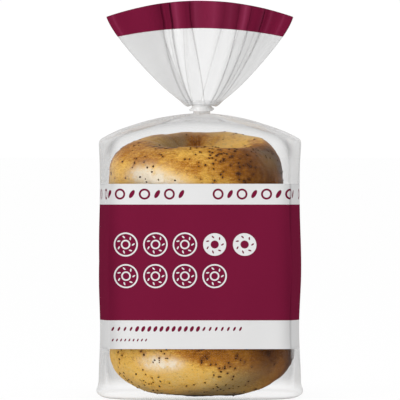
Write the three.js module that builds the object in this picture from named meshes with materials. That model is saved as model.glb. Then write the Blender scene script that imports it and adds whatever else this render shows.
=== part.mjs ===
// A clear bag packed with a stack of four bagels, drawn together at the neck and tied there.
// Millimetres, +Z up. The origin is on the surface that the bag stands on, under the middle of the stack.
// The front of the bag faces -Y. The bag is one closed solid out to its film, and the tie is a band round
// its neck.

import * as THREE from 'three';

// Body of the bag, a square tube round the stack with a crease at each corner. Front and back are nearly
// flat between their creases, and the two side panels bulge between theirs.
const bodyHalfWidth = 58;
const bodyHalfDepth = 54;
const panelHalfWidth = 52.4;
const panelBow = 0.015;
const sideCurve = 2.5;
const stackBulge = 0.7;
const stackBulgePitch = 72;
const stackBulgeStart = 62;

// Foot, pressed flat where it stands and flared a little just above. Its corners are round, and sharpen into
// the creases over the next stretch of wall.
const footFlat = 0.9;
const footHeight = 4;
const footFlare = 1.4;
const footFlareHeight = 3;
const footSquareness = 4;
const creaseFull = 18;

// Shoulder, an arch over the width that runs in to the neck
const shoulderSideHeight = 148;
const shoulderArch = 13;
const shoulderCurve = 1.43;
const gussetDip = 4;
const gussetSpread = 0.45;

// Neck, pulled tight by the tie a little to the right of the middle
const neckRadius = 5.2;
const neckShift = 1.1;
const neckBottom = 164.1;
const neckTop = 169.4;
const neckSquareness = 2.1;

// Fan of loose film above the neck
const fanLength = 60;
const fanHalfWidth = 54.2;
const fanHalfDepth = 10;
const fanSpread = 0.6;
const fanBelly = 0.33;
const fanTipDrop = 9.3;
const fanFlange = 3.4;
const fanFlangeFade = 0.033;
const fanWave = 2.2;
const fanWaveCount = 5;

// Tie, a flat band whose two ends are pinched together at the sides
const tieGap = 0.3;
const tieWall = 0.7;
const tieBottom = 165.5;
const tieHeight = 3.6;
const tieEndReach = 1.5;
const tieEndHalfHeight = 1.1;

// Fineness of the faceted surfaces
const sidesAround = 64;
const footSteps = 4;
const wallSteps = 13;
const wallSpacing = 1.4;
const shoulderSteps = 10;
const fanSteps = 14;
const tieArcSteps = 12;

// A place on the unit squared circle |x|^n + |y|^n = 1.
function onSquaredCircle(angle, squareness) {
  const c = Math.cos(angle);
  const s = Math.sin(angle);
  const reach = (Math.abs(c) ** squareness + Math.abs(s) ** squareness) ** (-1 / squareness);
  return { x: c * reach, y: s * reach };
}

// A place on the creased unit section. The turn counts quarters from the middle of the +X side, towards +Y.
function onCreasedSection(turn) {
  const panelShare = panelHalfWidth / bodyHalfWidth;
  const panel = Math.floor(turn + 0.5);
  const t = 2 * (turn + 0.5 - panel) - 1;
  const sign = panel % 4 < 2 ? 1 : -1;
  if (panel % 2 === 0) {
    return { x: sign * (1 - (1 - panelShare) * Math.abs(t) ** sideCurve), y: sign * (1 - panelBow) * t };
  }
  return { x: -sign * panelShare * t, y: sign * (1 - panelBow * t ** 2) };
}

// The places round a ring, from +X towards +Y: on the creased section, and in the same direction on the
// round section of the foot and on that of the neck. side is near 1 where the gussets fold in.
const places = Array.from({ length: sidesAround }, (_, i) => {
  const creased = onCreasedSection((4 * i) / sidesAround);
  const angle = Math.atan2(creased.y, creased.x);
  return {
    creased,
    foot: onSquaredCircle(angle, footSquareness),
    neck: onSquaredCircle(angle, neckSquareness),
    side: Math.exp(-((Math.sin(angle) / gussetSpread) ** 2)),
  };
});

// The section at a height, which passes smoothly from the foot's to the creased one.
function sectionAt(place, z) {
  const t = Math.min(z / creaseFull, 1);
  const share = t * t * (3 - 2 * t);
  return {
    x: place.foot.x + (place.creased.x - place.foot.x) * share,
    y: place.foot.y + (place.creased.y - place.foot.y) * share,
  };
}

// How far the wall stands out from the plain tube at a height: the stack's bulges and the flared foot.
function wallSwell(z) {
  const bulge = stackBulge * Math.sin((2 * Math.PI * (z - stackBulgeStart)) / stackBulgePitch);
  return bulge + footFlare * Math.exp(-(((z - footFlareHeight) / footFlareHeight) ** 2));
}

// Height of the wall's top edge at a place across the width, from -1 to 1.
function edgeHeight(across) {
  return shoulderSideHeight + shoulderArch * (1 - across ** 2);
}

// Rings of the foot: a flat ring on the ground, then a quarter round up to the wall.
function footRings() {
  return Array.from({ length: footSteps + 1 }, (_, step) => {
    const turn = (Math.PI / 2) * (step / footSteps);
    const share = footFlat + (1 - footFlat) * Math.sin(turn);
    const z = footHeight * (1 - Math.cos(turn));
    const swell = wallSwell(footHeight) * Math.sin(turn);
    return places.map((place) => {
      const section = sectionAt(place, z);
      const x = section.x * (bodyHalfWidth * share + swell);
      const y = section.y * (bodyHalfDepth * share + swell);
      return new THREE.Vector3(x, y, z);
    });
  });
}

// A point of the wall at a height.
function wallPoint(place, z) {
  const section = sectionAt(place, z);
  const swell = wallSwell(z);
  return new THREE.Vector3(section.x * (bodyHalfWidth + swell), section.y * (bodyHalfDepth + swell), z);
}

// Rings of the wall, level at the foot and arched at the top edge. They lie closest at the foot.
function wallRings() {
  return Array.from({ length: wallSteps }, (_, index) => {
    const share = ((index + 1) / wallSteps) ** wallSpacing;
    return places.map((place) => {
      const z = footHeight + (edgeHeight(place.creased.x) - footHeight) * share;
      return wallPoint(place, z);
    });
  });
}

// Rings of the shoulder. Each draws in from the wall's top edge to the neck along a squared quarter
// ellipse, and dips at the two sides, where the gussets fold in.
function shoulderRings() {
  return Array.from({ length: shoulderSteps }, (_, index) => {
    const turn = (Math.PI / 2) * ((index + 1) / shoulderSteps);
    const out = Math.max(Math.cos(turn), 0) ** (2 / shoulderCurve);
    const up = Math.sin(turn) ** (2 / shoulderCurve);
    return places.map((place) => {
      const edge = wallPoint(place, edgeHeight(place.creased.x));
      const dip = gussetDip * Math.sin(2 * turn) * place.side;
      return new THREE.Vector3(
        edge.x * out + (place.neck.x * neckRadius + neckShift) * (1 - out),
        edge.y * out + place.neck.y * neckRadius * (1 - out),
        edge.z + (neckBottom - edge.z) * up - dip,
      );
    });
  });
}

// The ring at the top of the neck, where the tie ends.
function neckRing() {
  return places.map(({ neck }) => {
    return new THREE.Vector3(neck.x * neckRadius + neckShift, neck.y * neckRadius, neckTop);
  });
}

// Rings of the fan, from the neck to the mouth. The width starts from a flange over the tie and opens quickly
// and then evenly, the mouth droops towards its tips, and front and back wave together in folds that grow
// towards the mouth.
function fanRings() {
  return Array.from({ length: fanSteps + 1 }, (_, step) => {
    const rise = (step / fanSteps) ** 1.5;
    const opening = rise ** fanSpread * (1 + fanBelly * rise ** 2 * (1 - rise));
    const flange = fanFlange * Math.exp(-rise / fanFlangeFade);
    const halfWidth = neckRadius + flange + (fanHalfWidth - neckRadius) * opening;
    const halfDepth = neckRadius + (fanHalfDepth - neckRadius) * rise ** fanSpread;
    return places.map(({ neck }) => {
      const wave = fanWave * rise * Math.cos(Math.PI * fanWaveCount * neck.x) * (1 - neck.x ** 4);
      return new THREE.Vector3(
        neck.x * halfWidth + neckShift * (1 - rise),
        neck.y * halfDepth + wave,
        neckTop + fanLength * rise - fanTipDrop * (rise * neck.x) ** 2,
      );
    });
  });
}

// A closed mesh over a stack of rings. The lowest ring closes to a point in its middle, and the highest by
// strips from its front half to its back half.
function skinMesh(rings) {
  const count = rings[0].length;
  const top = (rings.length - 1) * count;
  const middle = rings.length * count;
  const triangles = [];
  const quad = (a, b, c, d) => triangles.push(a, b, c, a, c, d);
  for (let i = 0; i < count; i += 1) {
    const next = (i + 1) % count;
    triangles.push(middle, next, i);
    for (let level = 0; level < rings.length - 1; level += 1) {
      quad(level * count + i, level * count + next, (level + 1) * count + next, (level + 1) * count + i);
    }
  }
  const half = count / 2;
  triangles.push(top, top + 1, top + count - 1, top + half - 1, top + half, top + half + 1);
  for (let i = 1; i < half - 1; i += 1) {
    quad(top + i, top + i + 1, top + count - i - 1, top + count - i);
  }
  const points = [...rings.flat(), new THREE.Vector3(0, 0, rings[0][0].z)];
  const geometry = new THREE.BufferGeometry().setFromPoints(points);
  geometry.setIndex(triangles);
  geometry.computeVertexNormals();
  return geometry;
}

function makeBag() {
  const rings = [...footRings(), ...wallRings(), ...shoulderRings(), neckRing(), ...fanRings()];
  const film = new THREE.MeshStandardMaterial({ color: 0x7a1f3c, roughness: 0.35, metalness: 0 });
  const bag = new THREE.Mesh(skinMesh(rings), film);
  bag.name = 'bag';
  return bag;
}

// Seen from above: a round band whose outside runs out to a point at each side, and a round hole.
function tieOutline() {
  const inner = neckRadius + tieGap;
  const outer = inner + tieWall;
  const halfGap = Math.asin(tieEndHalfHeight / outer);
  const outline = new THREE.Shape();
  outline.moveTo(outer + tieEndReach, 0);
  outline.absarc(0, 0, outer, halfGap, Math.PI - halfGap, false);
  outline.lineTo(-outer - tieEndReach, 0);
  outline.absarc(0, 0, outer, Math.PI + halfGap, 2 * Math.PI - halfGap, false);
  outline.closePath();
  const hole = new THREE.Path();
  hole.absarc(0, 0, inner, 0, 2 * Math.PI, true);
  outline.holes.push(hole);
  return outline;
}

function makeTie() {
  const band = new THREE.ExtrudeGeometry(tieOutline(), {
    depth: tieHeight,
    bevelEnabled: false,
    curveSegments: tieArcSteps,
  });
  const clear = new THREE.MeshStandardMaterial({ color: 0xdcdcdc, roughness: 0.3, metalness: 0 });
  const tie = new THREE.Mesh(band, clear);
  tie.name = 'neck_tie';
  tie.position.set(neckShift, 0, tieBottom);
  return tie;
}

const bagOfBagels = new THREE.Group();
bagOfBagels.add(makeBag(), makeTie());

export default bagOfBagels;
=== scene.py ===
# Four seeded bagels stacked in a clear printed bag, tied at the neck, with the loose film fanned out above
# the tie. Lengths in the dictionaries are millimetres. The front of the bag faces -Y.
from functools import partial, reduce
import math

import bpy
import numpy as np
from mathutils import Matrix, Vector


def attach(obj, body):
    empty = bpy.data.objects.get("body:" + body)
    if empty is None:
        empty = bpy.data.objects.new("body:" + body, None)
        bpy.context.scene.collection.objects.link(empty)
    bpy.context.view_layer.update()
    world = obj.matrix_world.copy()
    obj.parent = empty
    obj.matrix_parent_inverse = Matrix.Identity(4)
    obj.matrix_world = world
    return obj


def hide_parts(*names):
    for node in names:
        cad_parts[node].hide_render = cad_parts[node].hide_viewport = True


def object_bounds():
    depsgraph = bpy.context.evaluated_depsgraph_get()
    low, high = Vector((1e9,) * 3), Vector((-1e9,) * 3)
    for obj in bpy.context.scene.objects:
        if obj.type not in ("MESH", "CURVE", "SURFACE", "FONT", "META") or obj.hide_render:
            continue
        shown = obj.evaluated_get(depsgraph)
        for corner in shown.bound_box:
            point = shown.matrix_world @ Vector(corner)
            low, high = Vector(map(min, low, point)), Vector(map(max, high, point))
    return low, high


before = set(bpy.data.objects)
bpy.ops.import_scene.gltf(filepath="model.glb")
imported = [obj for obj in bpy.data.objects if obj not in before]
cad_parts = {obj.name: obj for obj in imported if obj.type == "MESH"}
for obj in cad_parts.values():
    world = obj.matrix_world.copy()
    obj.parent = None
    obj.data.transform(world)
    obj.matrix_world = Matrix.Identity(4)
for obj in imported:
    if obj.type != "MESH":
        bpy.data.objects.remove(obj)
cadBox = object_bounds()
mm = 0.001
print("frame loaded:", sorted(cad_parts))


# Shared helpers

def signedPower(values, power):
    # the size of each value raised to a power, with its sign kept
    return np.sign(values) * np.abs(values) ** power


def smoothStep(values, start, end):
    # 0 before start, 1 after end, and an S curve 3t^2 - 2t^3 between
    share = np.clip((values - start) / (end - start), 0, 1)
    return share * share * (3 - 2 * share)


def bellAt(values, middle, spread):
    # a bell curve, 1 at the middle
    return np.exp(-((values - middle) / spread) ** 2)


def apartFrom(angle, degrees):
    # the signed angle from a direction, in degrees from -180 to 180
    return (np.degrees(angle) - degrees + 180) % 360 - 180


def softNoise(points, size, seed, waves=16):
    # the sum of sine waves that run in random directions, each about one size long, scaled to a spread of 1
    rng = np.random.default_rng(seed)
    directions = rng.normal(size=(waves, 3))
    directions /= np.linalg.norm(directions, axis=1, keepdims=True)
    lengths = size * rng.uniform(0.7, 1.5, waves)
    phases = rng.uniform(0, 2 * math.pi, waves)
    angles = points @ (directions * (2 * math.pi / lengths)[:, None]).T + phases
    return np.sin(angles).sum(-1) / math.sqrt(waves / 2)


def squareCircle(angle, squareness):
    # a point on |x|^n + |y|^n = 1 in the direction of the angle
    c, s = np.cos(angle), np.sin(angle)
    reach = (np.abs(c) ** squareness + np.abs(s) ** squareness) ** (-1 / squareness)
    return c * reach, s * reach


def surfaceNormals(grid):
    # the cross product of the steps along the columns and along the rows of a closed grid, scaled to 1
    across = np.roll(grid, -1, 1) - np.roll(grid, 1, 1)
    along = np.roll(grid, -1, 0) - np.roll(grid, 1, 0)
    normals = np.cross(across, along)
    return normals / np.maximum(np.linalg.norm(normals, axis=-1, keepdims=True), 1e-9)


def meshPiece(name, points, faces):
    # an object from points in millimetres and lists of point numbers, shaded smooth
    mesh = bpy.data.meshes.new(name)
    mesh.from_pydata((np.asarray(points) * mm).tolist(), [], faces)
    mesh.shade_smooth()
    piece = bpy.data.objects.new(name, mesh)
    bpy.context.scene.collection.objects.link(piece)
    return piece


def gridPiece(name, grid, joinRows=False, closeFirst=False, uv=None, fields=None):
    # Rows by columns of points become quads. The columns always join into rings, the rows if asked, and the
    # first ring can close to a point. uv holds one more column than the grid, so that it doesn't wrap.
    rows, columns = grid.shape[:2]
    index = np.arange(rows * columns).reshape(rows, columns)
    lower = index if joinRows else index[:-1]
    upper = np.roll(index, -1, 0) if joinRows else index[1:]
    quads = np.stack([lower, np.roll(lower, -1, 1), np.roll(upper, -1, 1), upper], -1).reshape(-1, 4)
    points = grid.reshape(-1, 3)
    faces = quads.tolist()
    if closeFirst:
        hub = len(points)
        points = np.vstack([points, grid[0].mean(0)])
        first = index[0]
        faces += np.stack([np.full(columns, hub), np.roll(first, -1), first], -1).tolist()
    piece = meshPiece(name, points, faces)
    mesh = piece.data
    if uv is not None:
        corners = [np.stack([part[:-1, :-1], part[:-1, 1:], part[1:, 1:], part[1:, :-1]], -1) for part in uv]
        flat = np.zeros((len(mesh.loops), 2), np.float32)
        flat[:quads.size] = np.stack(corners, -1).reshape(-1, 2)
        mesh.uv_layers.new(name="print").data.foreach_set("uv", flat.ravel())
    for fieldName, values in (fields or {}).items():
        flat = np.full(len(points), values[0].mean(), np.float32)
        flat[:rows * columns] = values.ravel()
        mesh.attributes.new(fieldName, "FLOAT", "POINT").data.foreach_set("value", flat)
    mesh.validate()
    return piece


def giveThickness(piece, thickness):
    # the wall grows inwards from the modelled surface
    wall = piece.modifiers.new("wall", "SOLIDIFY")
    wall.thickness = thickness * mm
    wall.offset = -1


# Node helpers

def addNode(tree, kind, inputs=None, **settings):
    # A node with its settings. Its inputs go by name or number: a socket is linked, any other value is set.
    node = tree.nodes.new("ShaderNode" + kind)
    for name, value in settings.items():
        setattr(node, name, value)
    for name, value in (inputs or {}).items():
        if isinstance(value, bpy.types.NodeSocket):
            tree.links.new(value, node.inputs[name])
        else:
            node.inputs[name].default_value = value
    return node


def newMaterial(name):
    # a material with an empty node tree, and that tree
    material = bpy.data.materials.new(name)
    material.use_nodes = True
    material.node_tree.nodes.clear()
    return material, material.node_tree


def calc(operation, *values, clamp=False):
    # a Math node, in the tree of the first value that is a socket
    tree = next(value.id_data for value in values if isinstance(value, bpy.types.NodeSocket))
    return addNode(tree, "Math", dict(enumerate(values)), operation=operation, use_clamp=clamp).outputs[0]


plus, minus, times, over = (partial(calc, name) for name in ("ADD", "SUBTRACT", "MULTIPLY", "DIVIDE"))


def greatest(*values):
    # the highest of the values, two at a time
    return reduce(partial(calc, "MAXIMUM"), values)


def fade(share, first, second):
    # the first value at share 0, the second at share 1
    return plus(times(first, minus(1.0, share)), times(second, share))


def fadeColours(share, first, second):
    return addNode(share.id_data, "Mix", {0: share, 6: first, 7: second}, data_type="RGBA").outputs[2]


def fadeShaders(share, first, second):
    return addNode(share.id_data, "MixShader", {0: share, 1: first.outputs[0], 2: second.outputs[0]})


def finish(tree, shader):
    # the shader becomes the surface of the material
    addNode(tree, "OutputMaterial", {"Surface": shader.outputs[0]})


def objectCoordinates(tree):
    # the place on the object, in metres
    return addNode(tree, "TexCoord").outputs["Object"]


def attributeValue(tree, name):
    # a field that is stored on the points of the mesh
    return addNode(tree, "Attribute", attribute_name=name).outputs["Fac"]


def makeGrainGroup():
    # noise at a place, put out as a mask and as the normal that it bumps
    group = bpy.data.node_groups.new("grain", "ShaderNodeTree")
    noiseInputs, bumpInputs = ("Vector", "Scale", "Detail", "Roughness"), ("Strength", "Distance")
    for name in noiseInputs + bumpInputs:
        kind = "NodeSocketVector" if name == "Vector" else "NodeSocketFloat"
        group.interface.new_socket(name, in_out="INPUT", socket_type=kind)
    group.interface.new_socket("Mask", in_out="OUTPUT", socket_type="NodeSocketFloat")
    group.interface.new_socket("Normal", in_out="OUTPUT", socket_type="NodeSocketVector")
    given = group.nodes.new("NodeGroupInput").outputs
    mask = addNode(group, "TexNoise", {name: given[name] for name in noiseInputs}).outputs["Fac"]
    bump = addNode(group, "Bump", {"Height": mask, **{name: given[name] for name in bumpInputs}})
    result = group.nodes.new("NodeGroupOutput")
    group.links.new(mask, result.inputs["Mask"])
    group.links.new(bump.outputs[0], result.inputs["Normal"])
    return group


grainGroup = makeGrainGroup()


def grain(place, scale, detail=3.0, roughness=0.5, strength=0.0, distance=0.0):
    # the outputs of a grain group in the place's tree
    inputs = {"Vector": place, "Scale": scale, "Detail": detail, "Roughness": roughness,
              "Strength": strength, "Distance": distance * mm}
    return addNode(place.id_data, "Group", inputs, node_tree=grainGroup).outputs


# The bagels

# tones of the crust: how far it is baked, from 0 to 1, and the colour
crustTones = {
    "beige": (0.0, (0.80, 0.56, 0.205, 1)), "golden": (0.28, (0.87, 0.515, 0.097, 1)),
    "orangeBrown": (0.52, (0.48, 0.19, 0.020, 1)), "brown": (0.76, (0.21, 0.068, 0.008, 1)),
    "darkBrown": (1.0, (0.075, 0.024, 0.005, 1)),
}

# noise of the crust: flatness, scale, detail, roughness, and how far it shifts the bake
crustNoise = {
    "patches": (1, 45, 3, 0.5, 0.34), "mottle": (1, 240, 4, 0.6, 0.29), "wrinkles": (3.2, 330, 3, 0.55, 0.38),
    "pits": (1, 620, 2, 0.5, 0), "grain": (3.2, 950, 2, 0.6, 0.40),
}

# dull is a grey beige, in part painted shade, and the highlight colour is a painted highlight. The pits are
# darkened as painted shade in the hollows.
crustLook = {
    "dullAndPaintedShade": (0.30, 0.215, 0.105, 1), "glossyPaintedHighlight": (0.92, 0.80, 0.62, 1),
    "pitLevel": 0.4, "pitSharpness": 9.0, "pitShade": 0.35,
    "speckleGrain": 1.6, "speckleMottle": 2.4, "speckleLevel": 1.25,
    "wrinkleRelief": 0.8, "grainRelief": 0.4, "pitRelief": 0.5, "bumpStrength": 0.85, "bumpDepth": 0.45,
    "roughness": 0.33, "roughnessSpread": 0.25, "highlightSmoothness": 0.18, "specular": 0.06,
    "highlightCoat": 0.5, "coatRoughness": 0.25, "crumbGlow": 0.04, "crumbGlowRadius": (0.004, 0.002, 0.001),
}


def makeCrust():
    # The bake field is the baked tone together with painted shade and light. It picks a tone from beige to
    # dark brown, broken up by noise. The dull field fades the tone to a grey beige, in part as painted shade,
    # and the highlight field fades it to a pale, glossier skin as a painted highlight.
    look = crustLook
    material, tree = newMaterial("crust")
    place = objectCoordinates(tree)
    # the bake field holds the baked tone and also painted shade and light
    bakeAndPaintedShade = attributeValue(tree, "bakeAndPaintedShade")
    noise = {}
    for name, (flatness, scale, detail, roughness, depth) in crustNoise.items():
        flattened = addNode(tree, "Mapping", {"Vector": place, "Scale": (1, 1, flatness)}).outputs[0]
        noise[name] = grain(flattened, scale, detail, roughness)["Mask"]
        if depth > 0:
            bakeAndPaintedShade = plus(bakeAndPaintedShade, times(minus(noise[name], 0.5), depth))
    mottle = noise["mottle"]
    ramp = addNode(tree, "ValToRGB", {"Fac": bakeAndPaintedShade})
    marks = ramp.color_ramp.elements
    while len(marks) < len(crustTones):
        marks.new(0.5)
    for mark, (position, tone) in zip(marks, crustTones.values()):
        mark.position = position
        mark.color = tone
    # the pits are darkened towards dark brown: painted shade in the hollows
    pits = times(minus(look["pitLevel"], noise["pits"]), look["pitSharpness"], clamp=True)
    colour = fadeColours(times(pits, look["pitShade"]), ramp.outputs["Color"], crustTones["darkBrown"][1])
    # the dull field fades to a grey beige, and in the hole's left half this is painted shade
    colour = fadeColours(attributeValue(tree, "dullAndPaintedShade"), colour, look["dullAndPaintedShade"])
    speckle = plus(times(noise["grain"], look["speckleGrain"]), times(mottle, look["speckleMottle"]))
    speckle = minus(speckle, look["speckleLevel"], clamp=True)
    # painted highlight: pale speckled patches, which are also smoother and coated
    glossyPaintedHighlight = times(attributeValue(tree, "glossyPaintedHighlight"), speckle, clamp=True)
    colour = fadeColours(glossyPaintedHighlight, colour, look["glossyPaintedHighlight"])
    relief = plus(times(noise["wrinkles"], look["wrinkleRelief"]), mottle)
    relief = plus(relief, times(noise["grain"], look["grainRelief"]))
    relief = minus(relief, times(pits, look["pitRelief"]))
    rough = plus(times(mottle, look["roughnessSpread"]), look["roughness"])
    bump = addNode(tree, "Bump", {"Strength": look["bumpStrength"], "Distance": look["bumpDepth"] * mm,
                                  "Height": relief})
    finish(tree, addNode(tree, "BsdfPrincipled", {
        "Base Color": colour, "Roughness": minus(rough, times(glossyPaintedHighlight, look["highlightSmoothness"])),
        "Specular IOR Level": look["specular"], "Normal": bump.outputs[0],
        "Coat Weight": times(glossyPaintedHighlight, look["highlightCoat"]), "Coat Roughness": look["coatRoughness"],
        "Subsurface Weight": look["crumbGlow"], "Subsurface Radius": look["crumbGlowRadius"],
    }))
    return material


bagelShape = {
    "rows": 160, "columns": 320,
    "lumpSize": 22.0, "lumpDepth": 0.36, "dimpleSize": 5.0, "dimpleDepth": 0.07,
    "puckerCount": 11, "puckerDepth": 1.5, "puckerWidth": 5.0,
    "radiusWander": 0.9, "heightWander": 0.02, "pressedFrom": 49.5, "pressedBy": 2.8,
    "radiusOrders": range(2, 7), "heightOrders": range(1, 6), "bendPower": 0.6, "puckerSpread": (0.2, 0.8),
    "holeInward": (-0.25, 0.6), "holeUpward": (-0.2, 0.5),
}

# What each random part of a bagel adds to the bagel's own seed
seedSteps = {"lumps": 100, "dimples": 200, "bakeAndPaintedShade": 300, "wrinkles": 400, "seeds": 500, "patches": 600}

# waist is the height of the widest line, and above and below are the heights of crust on each side of it.
# edge is the outer radius, and upRing and downRing are the radii of the highest and the lowest circle, with
# upRound and downRound the squareness between. bakeUp and bakeDown say how dark the crust is at its top and
# at its bottom, and the flank value says how much painted shade darkens its right flank. lean is the forward
# tilt in degrees.
plainBagel = {
    "above": 20.5, "below": 15.0, "holeEdge": 9.0, "upRing": 33.0, "downRing": 33.0, "holeShift": 0.0,
    "upRound": 2.1, "downRound": 2.8, "bakeUp": 0.5, "bakeDown": 0.2, "flankPaintedShade": 0.2, "seeds": 160,
}

# from the bottom of the stack up
stack = (
    {**plainBagel, "name": "bagel_1", "middle": (1.1, 0.0), "waist": 27.2, "edge": 53.3, "lean": 1.5,
     "seed": 11, "above": 11.5, "below": 26.0, "upRing": 30.0, "downRing": 12.5, "upRound": 2.8,
     "downRound": 2.25, "bakeUp": 0.34, "bakeDown": 0.12, "flankPaintedShade": 0.42, "seeds": 200},
    {**plainBagel, "name": "bagel_2", "middle": (-0.6, 0.8), "waist": 55.0, "edge": 51.6, "lean": 3.0,
     "seed": 12},
    {**plainBagel, "name": "bagel_3", "middle": (0.8, -0.4), "waist": 91.5, "edge": 51.4, "lean": 4.6,
     "seed": 13},
    {**plainBagel, "name": "bagel_4", "middle": (-2.4, 0.0), "waist": 126.8, "edge": 51.1, "lean": 6.4,
     "seed": 14, "above": 22.0, "below": 14.6, "upRing": 33.2, "holeShift": 3.4,
     "bakeUp": 0.37, "bakeDown": 0.17, "flankPaintedShade": 0.25, "seeds": 330},
)

# Patches of the crust. Some are its own tone, and many are painted light. The dark bake patches on the right
# and front right and the thin dark bands at the left edge are painted shade. The pale bake patches low at the
# left and at the back right, and the highlight patches, are painted light. The dull ones fade to a grey
# beige.
# Each: direction in degrees, height above the waist, spread of each, and amount
crustToneAndLightPatches = {
    "bagel_1": {
        "bakeAndPaintedShade": ((122, 0, 50, 14, 0.18), (-93, 1, 18, 6, 0.30), (-44, 1, 31, 17, 0.46),
                 (-8, -5, 20, 26, 0.44), (-150, -4, 22, 16, -0.12), (178, -4, 7, 30, 0.16)),
        "dullAndPaintedShade": ((-60, -15, 22, 8, 0.75), (-96, -22, 22, 4, 0.6)),
        "glossyPaintedHighlight": ((-121, -4.5, 10, 4.0, 1.3), (-109, -5, 7, 3, 1.1)),
    },
    "bagel_4": {
        "bakeAndPaintedShade": ((-96, 13, 17, 5, 0.24), (-32, 5, 32, 26, 0.52), (-8, 6, 22, 20, 0.22),
                 (-150, 16, 24, 4, 0.10), (-122, 15, 12, 3, 0.12), (45, 16, 40, 8, -0.11),
                 (-168, 0, 22, 30, 0.09), (-57, 9, 13, 10, 0.10), (112, 8, 45, 14, 0.16),
                 (-74, 4, 22, 7, -0.09), (180, 4, 7, 30, 0.16)),
        "dullAndPaintedShade": ((-26, 13, 14, 7, 0.38), (90, 19, 75, 5, 0.25)),
        "glossyPaintedHighlight": ((75, 19, 60, 5, 0.15), (-124, 6.5, 14, 5.5, 1.7), (-103, 4, 9, 3.5, 1.0)),
    },
}

# Rises and dips of the upper crust: direction and width in degrees, and height
crestBends = {"bagel_4": ((-10, 17, -4.1), (-38, 16, -2.0), (-153, 24, -1.3), (-92, 30, 0.3), (22, 24, -0.7))}

# Furrows that run out of the hole over the crust: direction and width in degrees, and depth
holeFurrows = {"bagel_4": ((91, 2.6, 1.3), (83.5, 1.8, 0.8), (97, 2.0, 0.6), (122, 4.0, 0.9), (60, 3.4, 0.5))}


def ringWaves(rng, around, orders):
    # cosines round the ring, each of a random size over its order and a random phase, summed
    return sum(rng.uniform(0.4, 1) / k * np.cos(k * around + rng.uniform(0, 6.28)) for k in orders)


def bagelGrid(one):
    # A ring swept by a lopsided superellipse: the tube angle gives a reach from the ring's circle (out to
    # the edge or in to the hole) and a height (above or below the waist). Lumps, dimples and furrows push
    # along the normal, then the bagel leans forward, and front and back are pressed in by the film along a
    # tanh curve.
    shape, name = bagelShape, one["name"]
    around = np.linspace(0, 2 * math.pi, shape["columns"], endpoint=False)[None, :]
    tube = np.linspace(0, 2 * math.pi, shape["rows"], endpoint=False)[:, None]
    c, s = np.cos(tube), np.sin(tube)
    roundness = np.where(s > 0, one["upRound"], one["downRound"])
    ring = np.where(s > 0, one["upRing"] + one["holeShift"] * np.cos(around), one["downRing"])
    rng = np.random.default_rng(one["seed"])
    wave = ringWaves(rng, around, shape["radiusOrders"])
    swell = ringWaves(rng, around, shape["heightOrders"])
    reach = np.where(c > 0, one["edge"] - ring, ring - one["holeEdge"]) * signedPower(c, 2 / roundness)
    reach = reach + shape["radiusWander"] * wave * np.maximum(c, 0)
    height = np.where(s > 0, one["above"], one["below"]) * signedPower(s, 2 / roundness)
    height = height * (1 + shape["heightWander"] * swell)
    for degrees, width, rise in crestBends.get(name, ()):
        bend = rise * bellAt(apartFrom(around, degrees), 0, width)
        height = height + bend * np.maximum(s, 0) ** shape["bendPower"]
    radius = ring + reach
    grid = np.stack([radius * np.cos(around), radius * np.sin(around), height], -1)
    normals = surfaceNormals(grid)
    lumps = softNoise(grid, shape["lumpSize"], one["seed"] + seedSteps["lumps"]) * shape["lumpDepth"]
    dimples = softNoise(grid, shape["dimpleSize"], one["seed"] + seedSteps["dimples"]) * shape["dimpleDepth"]
    inside = smoothStep(-c, *shape["holeInward"]) * smoothStep(s, *shape["holeUpward"]) + 0 * around
    furrows = 0 * inside
    puckers = [rng.uniform(*limits, shape["puckerCount"]) for limits in ((0, 360), shape["puckerSpread"])]
    for angle, depth in zip(*puckers):
        furrows = furrows - depth * bellAt(apartFrom(around, angle), 0, shape["puckerWidth"])
    for degrees, width, depth in holeFurrows.get(name, ()):
        furrows = furrows - depth * bellAt(apartFrom(around, degrees), 0, width)
    grid = grid + normals * (lumps + dimples + inside * furrows * shape["puckerDepth"])[..., None]
    fields = crustFields(one, grid, normals, around, c, inside)
    lean = math.radians(one["lean"])
    depthwise, upward = grid[..., 1].copy(), grid[..., 2].copy()
    grid[..., 1] = depthwise * math.cos(lean) - upward * math.sin(lean) + one["middle"][1]
    grid[..., 2] = depthwise * math.sin(lean) + upward * math.cos(lean) + one["waist"]
    grid[..., 0] += one["middle"][0]
    past = np.abs(grid[..., 1]) - shape["pressedFrom"]
    pressed = shape["pressedFrom"] + shape["pressedBy"] * np.tanh(past / shape["pressedBy"])
    grid[..., 1] = np.where(past > 0, np.sign(grid[..., 1]) * pressed, grid[..., 1])
    return grid, fields


# How the bake field wanders, and where its painted shade and light go. The hole's left half is darker and its
# right half paler, with the dull and highlight there. The very base is darkest, as a painted contact shadow.
# Along the crest's front line it is partly painted shade, stronger at the left.
crustBakeAndShade = {
    "wander": 0.07, "wanderSize": 30, "leftInsideShadeBake": 0.17, "rightInsideLightBake": -0.12, "base": 1.0,
    "leftInsideShadeDull": 0.85, "rightInsideHighlight": 0.12,
    "crest": 0.34, "crestMiddle": -90, "crestWidth": 62, "crestLeftShade": 1.1, "crestLeftMiddle": -122,
    "crestLeftWidth": 26, "crestLine": -0.06, "crestLineWidth": 0.10,
    "wrinkle": 0.6, "wrinkleSpread": 0.7, "wrinkleSize": 7, "wrinkleMost": 1.4, "wrinkleFlatness": 3,
}

# From where to where each part of the crust fades in: places across, shares of the crust's height below the
# waist, parts of the way round the tube, or parts of a normal
crustRanges = {
    "rightHalf": (0, 10), "leftHalf": (2, 8), "base": (0.93, 0.975), "outside": (-0.35, 0.1),
    "flankBackward": (-0.42, -0.08), "flankRight": (-20, 25), "flankSideways": (0.2, 0.5),
}


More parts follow.
